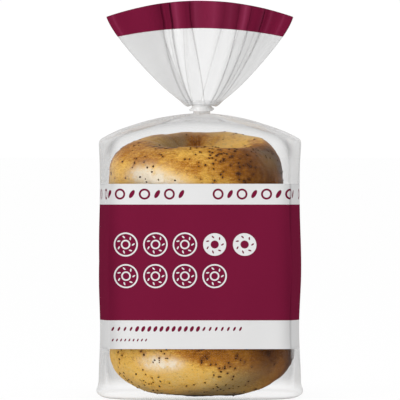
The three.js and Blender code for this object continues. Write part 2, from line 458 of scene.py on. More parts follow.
def crustFields(one, grid, normals, around, c, inside):
    # The bake field rises with the height and in the patches, and it holds painted shade and light. Along a
    # wrinkled line at the front of the crest it is partly dark wrinkles and partly painted shade, strongest
    # at the left. On the flank that faces right and back it is painted shade. At the very base it is a
    # browned base and a painted contact shadow. In the hole its left half is darker and dull, as painted
    # shade, and its right half is paler with some highlight, as painted light. Elsewhere the dull and
    # highlight fields are patches.
    k, ranges = crustBakeAndShade, crustRanges
    x, height = grid[..., 0], grid[..., 2]
    upShare = smoothStep(height, -one["below"], one["above"])
    bakeAndPaintedShade = one["bakeDown"] + (one["bakeUp"] - one["bakeDown"]) * upShare
    bakeAndPaintedShade = bakeAndPaintedShade + k["wander"] * softNoise(grid, k["wanderSize"], one["seed"] + seedSteps["bakeAndPaintedShade"])
    toRight = smoothStep(x, *ranges["rightHalf"])
    # painted shade in the hole's left half and painted light in its right half
    bakeAndPaintedShade = bakeAndPaintedShade + inside * (k["leftInsideShadeBake"] + (k["rightInsideLightBake"] - k["leftInsideShadeBake"]) * toRight)
    # the very base is darkest: a browned base and a painted contact shadow
    bakeAndPaintedShade = bakeAndPaintedShade + k["base"] * smoothStep(-height / one["below"], *ranges["base"])
    fields = {"bakeAndPaintedShade": bakeAndPaintedShade, "dullAndPaintedShade": 0 * bakeAndPaintedShade, "glossyPaintedHighlight": 0 * bakeAndPaintedShade}
    outside = smoothStep(c, *ranges["outside"])
    for field, patches in crustToneAndLightPatches.get(one["name"], {}).items():
        for degrees, level, wide, tall, amount in patches:
            patch = bellAt(apartFrom(around, degrees), 0, wide) * bellAt(height, level, tall) * outside
            fields[field] = fields[field] + amount * patch
    # the hole's left half is dull as painted shade, and its right half gets a painted highlight
    fields["dullAndPaintedShade"] = fields["dullAndPaintedShade"] + k["leftInsideShadeDull"] * inside * smoothStep(-x, *ranges["leftHalf"])
    fields["glossyPaintedHighlight"] = fields["glossyPaintedHighlight"] + k["rightInsideHighlight"] * inside * toRight
    flattened = grid * np.array([1, 1, k["wrinkleFlatness"]])
    wrinkled = softNoise(flattened, k["wrinkleSize"], one["seed"] + seedSteps["wrinkles"])
    wrinkled = np.clip(k["wrinkle"] + k["wrinkleSpread"] * wrinkled, 0, k["wrinkleMost"])
    atFront = np.sqrt(bellAt(apartFrom(around, k["crestMiddle"]), 0, k["crestWidth"]))
    atLeft = bellAt(apartFrom(around, k["crestLeftMiddle"]), 0, k["crestLeftWidth"])
    crest = bellAt(c, k["crestLine"], k["crestLineWidth"]) * (height > 0) * atFront
    crest = crest * (1 + k["crestLeftShade"] * atLeft)
    # the right flank, from its edge seen from the front round to the back, is darkened as painted shade
    flank = smoothStep(normals[..., 1], *ranges["flankBackward"]) * smoothStep(x, *ranges["flankRight"])
    flank = flank * (1 - inside) * smoothStep(np.abs(normals[..., 0]), *ranges["flankSideways"])
    fields["bakeAndPaintedShade"] = fields["bakeAndPaintedShade"] + k["crest"] * crest * wrinkled + one["flankPaintedShade"] * flank
    return fields


seedLook = {
    "long": 0.60, "wide": 0.44, "thick": 0.34, "sunk": 0.30, "bend": 0.25, "sizeSpread": 0.34,
    "around": 7, "along": 4, "randomStart": 77, "haloBake": 0.2, "patchiness": 0.8, "patchSize": 34,
    "patchLimits": (0.15, 3), "offHole": (18, 30), "clusterReach": 36,
    "tones": ((0.030, 0.012, 0.004, 1), (0.095, 0.038, 0.011, 1)), "toneScale": 260,
    "pitScale": 4200, "pitStrength": 0.5, "pitDepth": 0.12, "roughness": 0.7, "specular": 0.15,
}

# Where seeds lie thicker: direction round it in degrees, height above the waist, spread and count
seedClusters = {
    "bagel_1": ((-118, -1.0, 3.5, 9), (-92, -1.0, 3.5, 7), (-76, -7.0, 3.5, 8), (-128, -17.0, 5.0, 12),
                (-78, -18.0, 6.0, 16)),
    "bagel_4": ((-74, 14.0, 5.0, 16), (-52, 9.0, 5.0, 12), (-118, 6.0, 6.0, 8), (-35, 12.0, 5.0, 9),
                (-80, 19.0, 4.0, 8)),
}


def seedPlaces(one, grid):
    # Grid points drawn at random, weighted by the area round each, by a thin patchiness, and by the
    # clusters. The halo is 1 at each of them and fades over the points beside it.
    look = seedLook
    rng = np.random.default_rng(one["seed"] + seedSteps["seeds"])
    normals = surfaceNormals(grid)
    area = (np.linalg.norm(np.roll(grid, -1, 1) - grid, axis=-1)
            * np.linalg.norm(np.roll(grid, -1, 0) - grid, axis=-1))
    patches = softNoise(grid, look["patchSize"], one["seed"] + seedSteps["patches"])
    patchy = np.clip(1 + look["patchiness"] * patches, *look["patchLimits"])
    away = grid - np.array([*one["middle"], one["waist"]])
    weight = area * patchy * smoothStep(np.hypot(away[..., 0], away[..., 1]), *look["offHole"])
    picks = rng.choice(weight.size, one["seeds"], replace=False, p=(weight / weight.sum()).ravel())
    for degrees, height, spread, count in seedClusters.get(one["name"], ()):
        c, s = math.cos(math.radians(degrees)), math.sin(math.radians(degrees))
        sideways = (away[..., 0] * -s + away[..., 1] * c) ** 2
        facing = away[..., 0] * c + away[..., 1] * s > look["clusterReach"]
        near = np.exp(-(sideways + (away[..., 2] - height) ** 2) / (2 * spread ** 2)) * area * facing
        picks = np.append(picks, rng.choice(near.size, count, replace=False, p=(near / near.sum()).ravel()))
    halo = np.zeros(weight.size)
    halo[picks] = 1
    halo = halo.reshape(weight.shape)
    for axis in (0, 1):
        halo = 0.5 * np.roll(halo, 1, axis) + halo + 0.5 * np.roll(halo, -1, axis)
    return grid.reshape(-1, 3)[picks], normals.reshape(-1, 3)[picks], np.clip(halo, 0, 1)


def makeSeeds(centres, normals):
    # One small bent ellipsoid is turned to each normal, spun about it at random, scaled and sunk.
    look = seedLook
    rng = np.random.default_rng(look["randomStart"])
    turn = np.linspace(0, 2 * math.pi, look["around"], endpoint=False)[None, :]
    rise = np.linspace(0, math.pi, look["along"] + 2)[1:-1, None]
    body = np.stack([np.cos(rise) + 0 * turn, np.sin(rise) * np.cos(turn), np.sin(rise) * np.sin(turn)], -1)
    body = np.vstack([body.reshape(-1, 3), [[1, 0, 0], [-1, 0, 0]]])
    body[:, 1] += look["bend"] * body[:, 0] ** 2
    body *= np.array([look["long"], look["wide"], look["thick"]])
    index = np.arange(look["around"] * look["along"]).reshape(look["along"], look["around"])
    following = np.roll(index, -1, 1)
    quads = np.stack([index[:-1], index[1:], following[1:], following[:-1]], -1).reshape(-1, 4)
    tip, tail = np.full(look["around"], index.size), np.full(look["around"], index.size + 1)
    caps = np.vstack([np.stack([tip, index[0], following[0]], -1),
                      np.stack([tail, following[-1], index[-1]], -1)])
    count = len(centres)
    helper = np.where(np.abs(normals[:, 2:]) > 0.9, [[1.0, 0, 0]], [[0, 0, 1.0]])
    first = np.cross(helper, normals)
    first /= np.linalg.norm(first, axis=1, keepdims=True)
    second = np.cross(normals, first)
    spin = rng.uniform(0, 2 * math.pi, count)[:, None]
    longWay = first * np.cos(spin) + second * np.sin(spin)
    wideWay = -first * np.sin(spin) + second * np.cos(spin)
    sizes = rng.uniform(1 - look["sizeSpread"], 1 + look["sizeSpread"], count)[:, None, None]
    turns = np.stack([longWay, wideWay, normals], 1) * sizes
    middles = centres + normals * (look["thick"] - look["sunk"])
    points = np.einsum("vk,skc->svc", body, turns) + middles[:, None, :]
    offsets = (np.arange(count) * len(body))[:, None, None]
    faces = (quads[None] + offsets).reshape(-1, 4).tolist() + (caps[None] + offsets).reshape(-1, 3).tolist()
    return meshPiece("poppy_seeds", points.reshape(-1, 3), faces)


def makeSeedMaterial():
    # noise fades a near black into a dark brown, over a fine rough bump
    look = seedLook
    material, tree = newMaterial("poppySeed")
    place = objectCoordinates(tree)
    tone = grain(place, look["toneScale"], 2)["Mask"]
    pits = grain(place, look["pitScale"], 2, strength=look["pitStrength"], distance=look["pitDepth"])
    finish(tree, addNode(tree, "BsdfPrincipled", {
        "Base Color": fadeColours(tone, *look["tones"]), "Roughness": look["roughness"],
        "Specular IOR Level": look["specular"], "Normal": pits["Normal"],
    }))
    return material


# The film of the bag, up to the tie

bagBody = {
    "halfWidth": 58.0, "halfDepth": 54.0, "panelHalfWidth": 52.4, "panelBow": 0.015, "sideCurve": 2.5,
    "bulge": 0.7, "bulgePitch": 72.0, "bulgeStart": 62.0,
    "footFlat": 0.9, "footHeight": 4.0, "footFlare": 1.4, "footFlareHeight": 3.0, "lift": 0.12,
    "footSquareness": 4.0, "creaseFull": 18.0, "cornerEase": 0.4, "cornerRadius": 9.0,
    "sideHeight": 148.0, "arch": 13.0, "shoulderCurve": 1.43, "gussetDip": 4.0, "gussetSpread": 0.45,
    "neckRadius": 4.95, "neckSquareness": 2.1, "neckBottom": 164.1, "neckEnd": 167.6, "neckShift": 1.1,
    "edgeEase": 10, "slackSize": 34.0, "slackDepth": 0.35, "gatherDepth": 0.5, "thickness": 0.05,
    "panelColumns": 100, "sideColumns": 56, "baseRows": 6, "footRows": 10, "wallRows": 80, "shoulderRows": 46,
    "neckRows": 4, "footWidening": 2.2, "hemMiddle": 0.9, "hemWidth": 0.8, "backHemLess": 0.75,
    "cornerSpread": 0.03, "cornerEaseFrom": -20, "baseStart": 0.05, "gatherFade": 0.7, "printRow": 20,
    "slackTallness": 0.6, "slackSeed": 31, "slackFull": 22, "slackCornerLess": 0.7,
    "easeRows": 20, "easeRowsBelow": 8,
}

# Folds that run from the neck over the shoulder: direction in degrees, width in degrees, height
shoulderFolds = (
    (-112, 3.5, 0.7), (-78, 3, 0.6), (-96, 8, -1.2), (-138, 4, -0.7), (-44, 5, -0.8), (-160, 6, -0.6),
    (-24, 6, -0.7), (2, 8, -0.5), (24, 5, -0.9), (48, 4, -0.8), (66, 5, -1.1), (88, 7, -1.0), (107, 4, -1.0),
    (131, 5, -0.7), (152, 5, -0.8), (178, 8, -0.5),
)

# Fine creases that run from the neck, drawn only as haze and painted shade: direction in degrees, width in
# degrees, and depth, which is the strength of the line
neckCreaseLines = (
    (-113, 1.6, 1.0), (-77, 1.4, 0.9), (-128, 1.2, 0.5), (-58, 1.2, 0.5), (-160, 2, 0.4), (-24, 2, 0.4),
    (62, 1.5, 0.8), (96, 1.6, 0.9), (118, 1.4, 0.8), (28, 2, 0.4), (154, 2, 0.4),
)


def wallSwell(z):
    # how far the wall stands out at a height: a slow wave for the stack and a bell for the flared foot
    b = bagBody
    wave = b["bulge"] * np.sin(2 * math.pi * (z - b["bulgeStart"]) / b["bulgePitch"])
    return wave + b["footFlare"] * bellAt(z, b["footFlareHeight"], b["footFlareHeight"])


def ringOfFolds(angle, folds):
    # the sum of bell curves round the ring, one for each fold
    return sum(height * bellAt(apartFrom(angle, degrees), 0, width) for degrees, width, height in folds)


def creasedSection():
    # The unit section of the bag, from the middle of the back towards -X. Front and back bow by a small
    # part of t squared, and the sides stand out by one less |t| to a power, with t from -1 to 1 across.
    b = bagBody
    share = b["panelHalfWidth"] / b["halfWidth"]
    side, panel = (0.5 * np.linspace(-1, 1, count, endpoint=False)
                   for count in (b["sideColumns"], b["panelColumns"]))
    side = side + 0.5 * np.sin(math.pi * side)
    panel = panel + 0.5 * np.sin(math.pi * panel)
    sideX = 1 - (1 - share) * np.abs(side) ** b["sideCurve"]
    sideY = (1 - b["panelBow"]) * side
    panelY = 1 - b["panelBow"] * panel ** 2
    x = np.concatenate([sideX, -share * panel, -sideX, share * panel])
    y = np.concatenate([sideY, panelY, -sideY, -panelY])
    start = b["sideColumns"] + b["panelColumns"] // 2
    return np.roll(x, -start)[None, :], np.roll(y, -start)[None, :]


def bodyGrid():
    # Rings from the middle of the base to the tie. The section passes from a round one at the foot to the
    # creased one. The wall rises to an arched edge, and the shoulder runs from that edge in to the neck
    # along a squared quarter ellipse, with folds that fade at both ends. The edge is eased by averaging
    # along the rows.
    b = bagBody
    creasedX, creasedY = creasedSection()
    angle = np.arctan2(creasedY, creasedX)
    roundX, roundY = squareCircle(angle, b["footSquareness"])
    neckX, neckY = squareCircle(angle, b["neckSquareness"])
    edge = b["sideHeight"] + b["arch"] * (1 - creasedX ** 2)
    side = bellAt(np.sin(angle), 0, b["gussetSpread"])
    cornerAway = np.abs(np.abs(creasedX) - b["panelHalfWidth"] / b["halfWidth"]) + 1 - np.abs(creasedY)
    corner = bellAt(cornerAway, b["panelBow"], b["cornerSpread"])

    def ringAt(z, share, swell):
        # the section at a height, with its sides scaled by the share and stood out by the swell
        eased = b["cornerEase"] * smoothStep(z - edge, b["cornerEaseFrom"], 0)
        creased = smoothStep(z, 0, b["creaseFull"]) * (1 - eased)
        x = roundX + (creasedX - roundX) * creased
        y = roundY + (creasedY - roundY) * creased
        return np.stack([x * (b["halfWidth"] * share + swell), y * (b["halfDepth"] * share + swell), z], -1)

    baseShare = np.linspace(b["baseStart"], 1, b["baseRows"], endpoint=False)[:, None] * b["footFlat"]
    base = np.stack([roundX * b["halfWidth"] * baseShare, roundY * b["halfDepth"] * baseShare,
                     b["lift"] + 0 * roundX * baseShare], -1)

    turn = np.linspace(0, math.pi / 2, b["footRows"])[:, None]
    z = b["lift"] + (b["footHeight"] - b["lift"]) * (1 - np.cos(turn)) + 0 * roundX
    share = b["footFlat"] + (1 - b["footFlat"]) * np.sin(turn)
    foot = ringAt(z, share, wallSwell(b["footHeight"]) * np.sin(turn))

    rise = np.linspace(0, 1, b["wallRows"] + 1)[1:, None]
    z = b["footHeight"] + (edge - b["footHeight"]) * rise
    wall = ringAt(z, 1, wallSwell(z))
    slack = softNoise(wall * np.array([1, 1, b["slackTallness"]]), b["slackSize"], b["slackSeed"])
    slack = slack * b["slackDepth"] * smoothStep(z, b["footHeight"], b["slackFull"])
    slack = slack * (1 - b["slackCornerLess"] * corner)
    wall[..., :2] *= (1 + slack / b["halfWidth"])[..., None]

    turn = np.linspace(0, 1, b["shoulderRows"] + 1)[1:, None] * math.pi / 2
    out = np.maximum(np.cos(turn), 0) ** (2 / b["shoulderCurve"])
    up = np.sin(turn) ** (2 / b["shoulderCurve"])
    edgeX, edgeY = wall[-1, :, 0], wall[-1, :, 1]
    gather = 4 * out ** b["gatherFade"] * (1 - out) * b["gatherDepth"] * ringOfFolds(angle, shoulderFolds)
    shoulder = np.stack([
        edgeX * out + (neckX * b["neckRadius"] + b["neckShift"]) * (1 - out),
        edgeY * out + neckY * b["neckRadius"] * (1 - out),
        edge + (b["neckBottom"] - edge) * up - b["gussetDip"] * np.sin(2 * turn) * side + gather], -1)

    neckZ = np.linspace(b["neckBottom"], b["neckEnd"], b["neckRows"] + 1)[1:, None]
    neck = np.stack(np.broadcast_arrays(neckX * b["neckRadius"] + b["neckShift"], neckY * b["neckRadius"],
                                        neckZ), -1)

    grid = np.concatenate([base, foot, wall, shoulder, neck])
    first = b["baseRows"] + b["footRows"] + b["wallRows"] - b["easeRowsBelow"]
    end = first + b["easeRows"]
    for _ in range(b["edgeEase"]):
        part = grid[first - 1:end + 1].copy()
        grid[first:end] = (part[:-2] + 2 * part[1:-1] + part[2:]) / 4
    return grid, bodyFields(grid, edge)


# How milky the film is, and how far painted shade darkens its colour, at each place of the body. Gleam is
# painted light on the clear shoulder, more on the right.
filmHaze = {
    "shoulder": 0.08, "neck": 0.35, "foot": 0.04, "lowBack": 0.17, "highBack": 0.03, "clearSide": 0.09,
    "highRim": 0.09, "edgeLine": 0.14, "crease": 0.26, "hem": 0.30, "most": 0.9,
}
filmShade = {
    "side": 0.01, "leftSide": 0.23, "rim": 0.24, "highRim": 0.38, "clearBack": 0.45, "clearSide": 0.18,
    "edgeLine": 0.20, "crease": 0.30, "hem": 0.30, "leftShoulder": 0.06,
}
filmGleam = {"shoulder": 0.75, "leftShoulder": -0.30}

# Middle and spread of the haze and painted shade lines along a rim, as distances outwards from it
rimLines = {"rim": (0, 5.0), "edgeHaze": (0, 2), "edgeShade": (0.2, 1.8)}

# From where to where each part fades in: heights, depths, places across, or distances from an edge
filmRanges = {
    "footWidening": (34, 22), "offPanel": (-0.3, 0.8), "shoulder": (-2.5, 1.5), "lowWindow": (0, 8),
    "back": (40, 47), "edgeLine": (-16, -5), "left": (10, -10), "creases": (4, 12), "neck": (161, 164),
    "backHem": (-30, 0), "haze": (1, 9), "shade": (2, 12), "footGleam": (11, 3), "calm": (3, 0.6),
    "print": (-0.5, 0.5),
}


def bodyFields(grid, edge):
    # A panel's rim is a rectangle with rounded upper corners, and beyond is the distance outwards from it.
    # Off the panels lie the sides and, above the edge, the shoulder. The film is hazy and darkened by painted
    # shade in these places: beside the rims, on the side strips (more on the left), on the clear parts of the
    # sides and the back, in a line along the shoulder's edge, in painted crease lines that run from the neck,
    # in a dark line along the hem of the foot, and a little on the shoulder's left. Calm takes the sheen off
    # the base. Gleam is painted light that makes clear film brighter on the shoulder (more on the right) and
    # on the foot above the hem.
    b, haze, shade, ranges = bagBody, filmHaze, filmShade, filmRanges
    x, y, z = grid[..., 0], grid[..., 1], grid[..., 2]
    radius = b["cornerRadius"]
    widen = b["footWidening"] * smoothStep(z, *ranges["footWidening"])
    sideways = np.abs(x) - (b["panelHalfWidth"] + widen - radius)
    upwards = z - edge + radius
    outer = np.hypot(np.maximum(sideways, 0), np.maximum(upwards, 0))
    beyond = np.minimum(np.maximum(sideways, upwards), 0) + outer - radius
    offPanel = smoothStep(beyond, *ranges["offPanel"])
    onShoulder = smoothStep(z - edge, *ranges["shoulder"]) * offPanel
    onSide = offPanel * (1 - onShoulder)
    printUp = z + filmLook["printSlope"] * (y + b["halfDepth"])
    lowClear = smoothStep(filmLook["lowWhite"] - printUp, *ranges["print"])
    lowClear = lowClear * smoothStep(z, *ranges["lowWindow"])
    highClear = smoothStep(printUp - filmLook["highWhite"], *ranges["print"])
    clearPart = lowClear + highClear
    onBack = smoothStep(y, *ranges["back"]) * (1 - offPanel)
    nearRim = bellAt(beyond, *rimLines["rim"]) * (1 - offPanel)
    atTop = smoothStep(z - edge, *ranges["edgeLine"])
    leftSide = smoothStep(x, *ranges["left"])
    angle = np.arctan2(y, x - b["neckShift"])
    # painted crease lines that run from the neck over the shoulder
    paintedCreases = ringOfFolds(angle, neckCreaseLines) * onShoulder * smoothStep(np.hypot(x, y), *ranges["creases"])
    # a dark line of haze and painted shade along the hem of the foot
    hem = bellAt(z, b["hemMiddle"], b["hemWidth"]) 
    hem = hem * (1 - b["backHemLess"] * smoothStep(y, *ranges["backHem"]))

    milky = haze["shoulder"] * onShoulder + haze["neck"] * smoothStep(z, *ranges["neck"])
    milky = milky + haze["foot"] * bellAt(z, 0, b["footHeight"])
    milky = milky + onBack * (haze["lowBack"] * lowClear + haze["highBack"] * highClear)
    milky = milky + haze["clearSide"] * onSide * clearPart + haze["highRim"] * nearRim * highClear
    milky = milky + haze["edgeLine"] * bellAt(beyond, *rimLines["edgeHaze"]) * atTop
    milky = milky + haze["crease"] * paintedCreases
    milky = milky * smoothStep(z, *ranges["haze"]) + haze["hem"] * hem

    # painted shade: on the side strips (more on the left), beside the rims, on the clear back and sides,
    # along the shoulder's edge, in the crease lines and the hem, and a little on the shoulder's left
    dark = (shade["side"] + shade["leftSide"] * leftSide) * onSide + shade["rim"] * nearRim
    dark = dark + (shade["clearBack"] * onBack + shade["clearSide"] * onSide) * clearPart
    dark = np.maximum(dark, shade["highRim"] * nearRim * highClear) * (1 - onShoulder)
    dark = dark + shade["edgeLine"] * bellAt(beyond, *rimLines["edgeShade"]) * atTop
    dark = dark + shade["crease"] * paintedCreases
    dark = dark * smoothStep(z, *ranges["shade"]) + shade["hem"] * hem
    dark = dark + shade["leftShoulder"] * leftSide * onShoulder

    # painted light: gleam on the shoulder, more on the right, and on the foot above the hem
    bright = (filmGleam["shoulder"] + filmGleam["leftShoulder"] * leftSide) * onShoulder
    bright = bright + smoothStep(z, *ranges["footGleam"]) * (1 - hem)
    return {"calm": smoothStep(z, *ranges["calm"]), "gleam": bright, "haze": np.clip(milky, 0, haze["most"]),
            "shade": np.clip(dark, 0, 1)}


def bodyCoordinates(grid):
    # distance round from the middle of the front, and height, with the print a little lower at the back
    ring = grid[bagBody["baseRows"] + bagBody["footRows"] + bagBody["printRow"]]
    ring = np.vstack([ring, ring[:1]])
    lengths = np.concatenate([[0], np.cumsum(np.linalg.norm(np.diff(ring[:, :2], axis=0), axis=1))])
    around = lengths - lengths[-1] / 2
    height = grid[..., 2] + filmLook["printSlope"] * (grid[..., 1] + bagBody["halfDepth"])
    height = np.concatenate([height, height[:, :1]], 1)
    return np.stack([np.broadcast_to(around, height.shape), height]), lengths[-1]


# The fan of loose film above the tie

bagFan = {
    "start": 167.2, "neckTop": 169.4, "length": 60.0, "neckRadius": 4.8, "halfWidth": 54.2, "halfDepth": 8.5,
    "spread": 0.6, "belly": 0.33, "tipDrop": 9.3, "gussetShare": 0.54, "edgeDepth": 0.3,
    "flange": 3.4, "flangeFade": 0.033, "flangeDroop": 1.3, "droopFade": 0.012, "flangeDepth": 0.4,
    "slide": 0.3, "slideFull": 0.74, "slideMost": 1.1,
    "frontColumns": 300, "backColumns": 220, "gussetColumns": 26, "rows": 76, "stemRows": 4,
    "thickness": 0.05, "rippleDepth": 0.9, "rippleSize": 24, "rippleSeed": 41, "cornerWidth": 0.010,
    "rowSpacing": 1.5, "roundUpTo": 0.25, "liftAtNeck": 0.25, "liftFull": 0.6, "rippleFull": 0.5,
    "rippleSpans": (60, 30, 12), "stemGap": 0.1, "lapSpread": 1.4, "rounding": (0.1, 0.2, 0.4, 0.2, 0.1),
}

# How milky the fan is and how far painted shade darkens it: along the corners and the laps of its pleats, at
# the neck, over all, in its outer parts, in the fine stripes to the right, and how far a streak counts
fanLook = {
    "cornerHaze": 0.12, "neckHaze": 0.35, "baseHaze": 0.03, "lapShade": 0.08, "leftPart": 0.05,
    "rightPart": 0.01, "stripe": 0.02, "stripeSize": 6, "stripeSeed": 43, "streakHaze": 1.55,
    "streakShade": 1.35, "lightEase": 0.5, "outerPart": (0.34, 0.48), "stripedPart": (0.45, 0.6),
    "stripeSpans": (60, 4), "outerShift": 0.03, "neckFull": 0.05,
}

# Pleats of the fan, where the film doubles back: place across at the mouth and at the neck (from -1 to 1),
# half width at the mouth and at the neck, and how far its first corner lies above its second one
frontPleats = (
    (-0.445, -0.86, 0.014, 0.030, 0.9), (-0.345, -0.62, 0.014, 0.030, 0.9), (-0.100, 0.28, 0.006, 0.03, 0.6),
    (0.440, 0.50, 0.014, 0.04, -0.9), (0.570, 0.70, 0.014, 0.03, -0.8), (0.720, 0.86, 0.018, 0.03, -0.8),
)
backPleats = (
    (-0.66, -0.78, 0.012, 0.03, 0.8), (-0.256, 0.20, 0.006, 0.03, 0.7), (0.20, 0.58, 0.010, 0.04, -0.8),
)

# Painted streaks of the fan's front: fold shade where the strength is above 0, and highlights where it is
# below
# 0. Each: place across at the mouth and at the neck, softness to the left and to the right of it, and
#    strength
paintedFanStreaks = (
    (-0.455, -0.86, 0.035, 0.014, 0.15), (-0.385, -0.66, 0.006, 0.022, 0.16),
    (-0.33, -0.58, 0.035, 0.005, 0.17), (-0.27, -0.50, 0.030, 0.030, -0.8), (-0.165, -0.56, 0.06, 0.03, 0.14),
    (-0.094, 0.28, 0.030, 0.004, 0.20), (-0.05, 0.10, 0.02, 0.06, -0.6), (0.15, 0.0, 0.08, 0.08, -0.5),
    (0.256, -0.20, 0.050, 0.018, 0.15), (0.34, 0.30, 0.04, 0.04, -0.4), (0.44, 0.50, 0.06, 0.005, 0.17),
    (0.50, 0.57, 0.026, 0.026, -1.0), (0.56, 0.66, 0.005, 0.055, 0.16), (0.64, 0.76, 0.008, 0.012, 0.06),
    (0.69, 0.81, 0.012, 0.012, -0.5), (0.725, 0.84, 0.006, 0.02, 0.08), (0.775, 0.88, 0.012, 0.012, -0.6),
    (0.83, 0.91, 0.008, 0.014, 0.06), (0.905, 0.95, 0.012, 0.012, -0.6), (-0.935, -0.95, 0.012, 0.012, -0.6),
)


def pleatedPanel(pleats, columns, share):
    # The film runs across a panel from -1 to 1 and doubles back at each pleat. The corners of the pleats
    # slide from their neck places to their mouth places with the share, the columns run straight between
    # them, and a moving average rounds them. Also returned: each column's lift off the panel, its nearness
    # to a corner, and how far a point lies in a pleat.
    mouth, neck, mouthHalf, neckHalf, lift = (np.array(values) for values in zip(*pleats))
    place = neck + (mouth - neck) * share
    half = neckHalf + (mouthHalf - neckHalf) * share
    pairs = np.stack([place + half, place - half], -1).reshape(len(share), -1)
    corners = np.concatenate([0 * share - 1, pairs, 0 * share + 1], 1)
    walked = np.concatenate([[0], np.cumsum(np.abs(np.diff(corners[-1])))])
    steps = np.linspace(0, walked[-1], columns, endpoint=False)
    weights = np.stack([np.interp(steps, walked, unit) for unit in np.eye(len(walked))])
    beside = len(bagFan["rounding"]) // 2
    padded = np.pad(weights, ((0, 0), (beside, beside)), "edge")
    weights = sum(padded[:, k:k + columns] * part for k, part in enumerate(bagFan["rounding"]))
    lifts = np.concatenate([[0], np.stack([lift, -lift], -1).ravel(), [0]])
    near = np.exp(-np.abs(steps[None, :] - walked[1:-1, None]) / bagFan["cornerWidth"]).sum(0)
    across = corners @ weights
    spread = bagFan["lapSpread"] * half
    lap = sum(bellAt(across, place[:, k:k + 1], spread[:, k:k + 1]) for k in range(len(mouth)))
    return across, (lifts @ weights)[None, :], near[None, :], lap


def paintedStreaksAt(across, share):
    # Each streak runs from its neck place to its mouth place with the share, and fades as e to the power of
    # minus the distance over the softness of that side. Dark ones, which are painted shade, and light ones,
    # which are painted highlights, are summed apart.
    dark, light = 0 * across, 0 * across
    for mouth, neck, left, right, strength in paintedFanStreaks:
        away = across - (neck + (mouth - neck) * share)
        streak = np.exp(-np.abs(away) / np.where(away < 0, left, right))
        dark = dark + max(strength, 0) * streak
        light = light + max(-strength, 0) * streak
    return dark, light


def fanGrid():
    # A ring is laid out flat as the front panel, a gusset folded inwards, the back panel and the other
    # gusset. across runs from -1 to 1 over the width, and through from -1 at the front to 1 at the back.
    # The width opens with a power of the height, after a small flange that droops over the tie.
    f = bagFan
    rise = (np.linspace(0, 1, f["rows"]) ** f["rowSpacing"])[:, None]
    share = np.minimum(rise / f["slideFull"], f["slideMost"]) ** f["slide"]
    front, frontLift, frontNear, frontLap = pleatedPanel(frontPleats, f["frontColumns"], share)
    back, backLift, backNear, backLap = pleatedPanel(backPleats, f["backColumns"], share)
    inward = np.linspace(0, 1, f["gussetColumns"], endpoint=False)[None, :] + 0 * rise
    gussetIn = 1 - f["gussetShare"] * inward
    gussetOut = 1 - f["gussetShare"] * (1 - inward)
    across = np.concatenate([front, gussetIn, gussetOut, -back, -gussetIn, -gussetOut], 1)
    through = np.concatenate([0 * front - 1, inward - 1, inward, 0 * back + 1, 1 - inward, -inward], 1)

    def ringOf(frontPart, backPart):
        # the values of both panels, with zeros on the gussets
        flat = 0 * inward[:len(frontPart)]
        return np.concatenate([frontPart, flat, flat, backPart, flat, flat], 1)

    isPanel = ringOf(0 * front[:1] + 1, 0 * back[:1] + 1)
    opening = rise ** f["spread"] * (1 + f["belly"] * rise ** 2 * (1 - rise))
    flange = f["flange"] * np.exp(-rise / f["flangeFade"])
    halfWidth = f["neckRadius"] + flange + (f["halfWidth"] - f["neckRadius"]) * opening
    lens = f["neckRadius"] + f["flangeDepth"] * flange
    lens = lens + (f["halfDepth"] - f["neckRadius"]) * rise ** f["spread"]
    panelBow = f["edgeDepth"] + (1 - f["edgeDepth"]) * (1 - across ** 2)
    bow = np.where(isPanel > 0, panelBow, f["edgeDepth"] * np.abs(through))
    roundBow = np.sqrt(np.maximum(1 - across ** 2, 0)) * np.abs(through)
    flatter = smoothStep(rise, 0, f["roundUpTo"])
    depth = lens * (roundBow * (1 - flatter) + bow * flatter) * np.sign(through)
    laidOut = np.stack([across, through, rise + 0 * across], -1) * np.array(f["rippleSpans"])
    ripple = softNoise(laidOut, f["rippleSize"], f["rippleSeed"])
    lifted = f["liftAtNeck"] + (1 - f["liftAtNeck"]) * smoothStep(rise, 0, f["liftFull"])
    depth = depth + ringOf(-frontLift, backLift) * lifted
    depth = depth + ripple * f["rippleDepth"] * smoothStep(rise, 0, f["rippleFull"]) * isPanel

    droop = f["flangeDroop"] * across ** 2 * np.exp(-rise / f["droopFade"])
    z = f["neckTop"] + f["length"] * rise - f["tipDrop"] * (rise * across) ** 2 - droop
    grid = np.stack([across * halfWidth, depth, z], -1)
    stem = np.repeat(grid[:1], f["stemRows"], 0)
    stem[..., 0] *= f["neckRadius"] / (f["neckRadius"] + f["flange"])
    stem[..., 1] *= f["neckRadius"] / (f["neckRadius"] + f["flangeDepth"] * f["flange"])
    stem[..., 2] = np.linspace(f["start"], f["neckTop"] - f["stemGap"], f["stemRows"])[:, None]
    grid = np.concatenate([stem, grid])
    stemRise = np.concatenate([0 * rise[:f["stemRows"]], rise])
    grid[..., 0] += bagBody["neckShift"] * (1 - stemRise)
    height = f["neckTop"] + f["length"] * stemRise + 0 * across[:1]
    near, lap = ringOf(frontNear, backNear), ringOf(frontLap, backLap)
    return grid, fanFields(across, through, rise, share, isPanel, near, lap), height


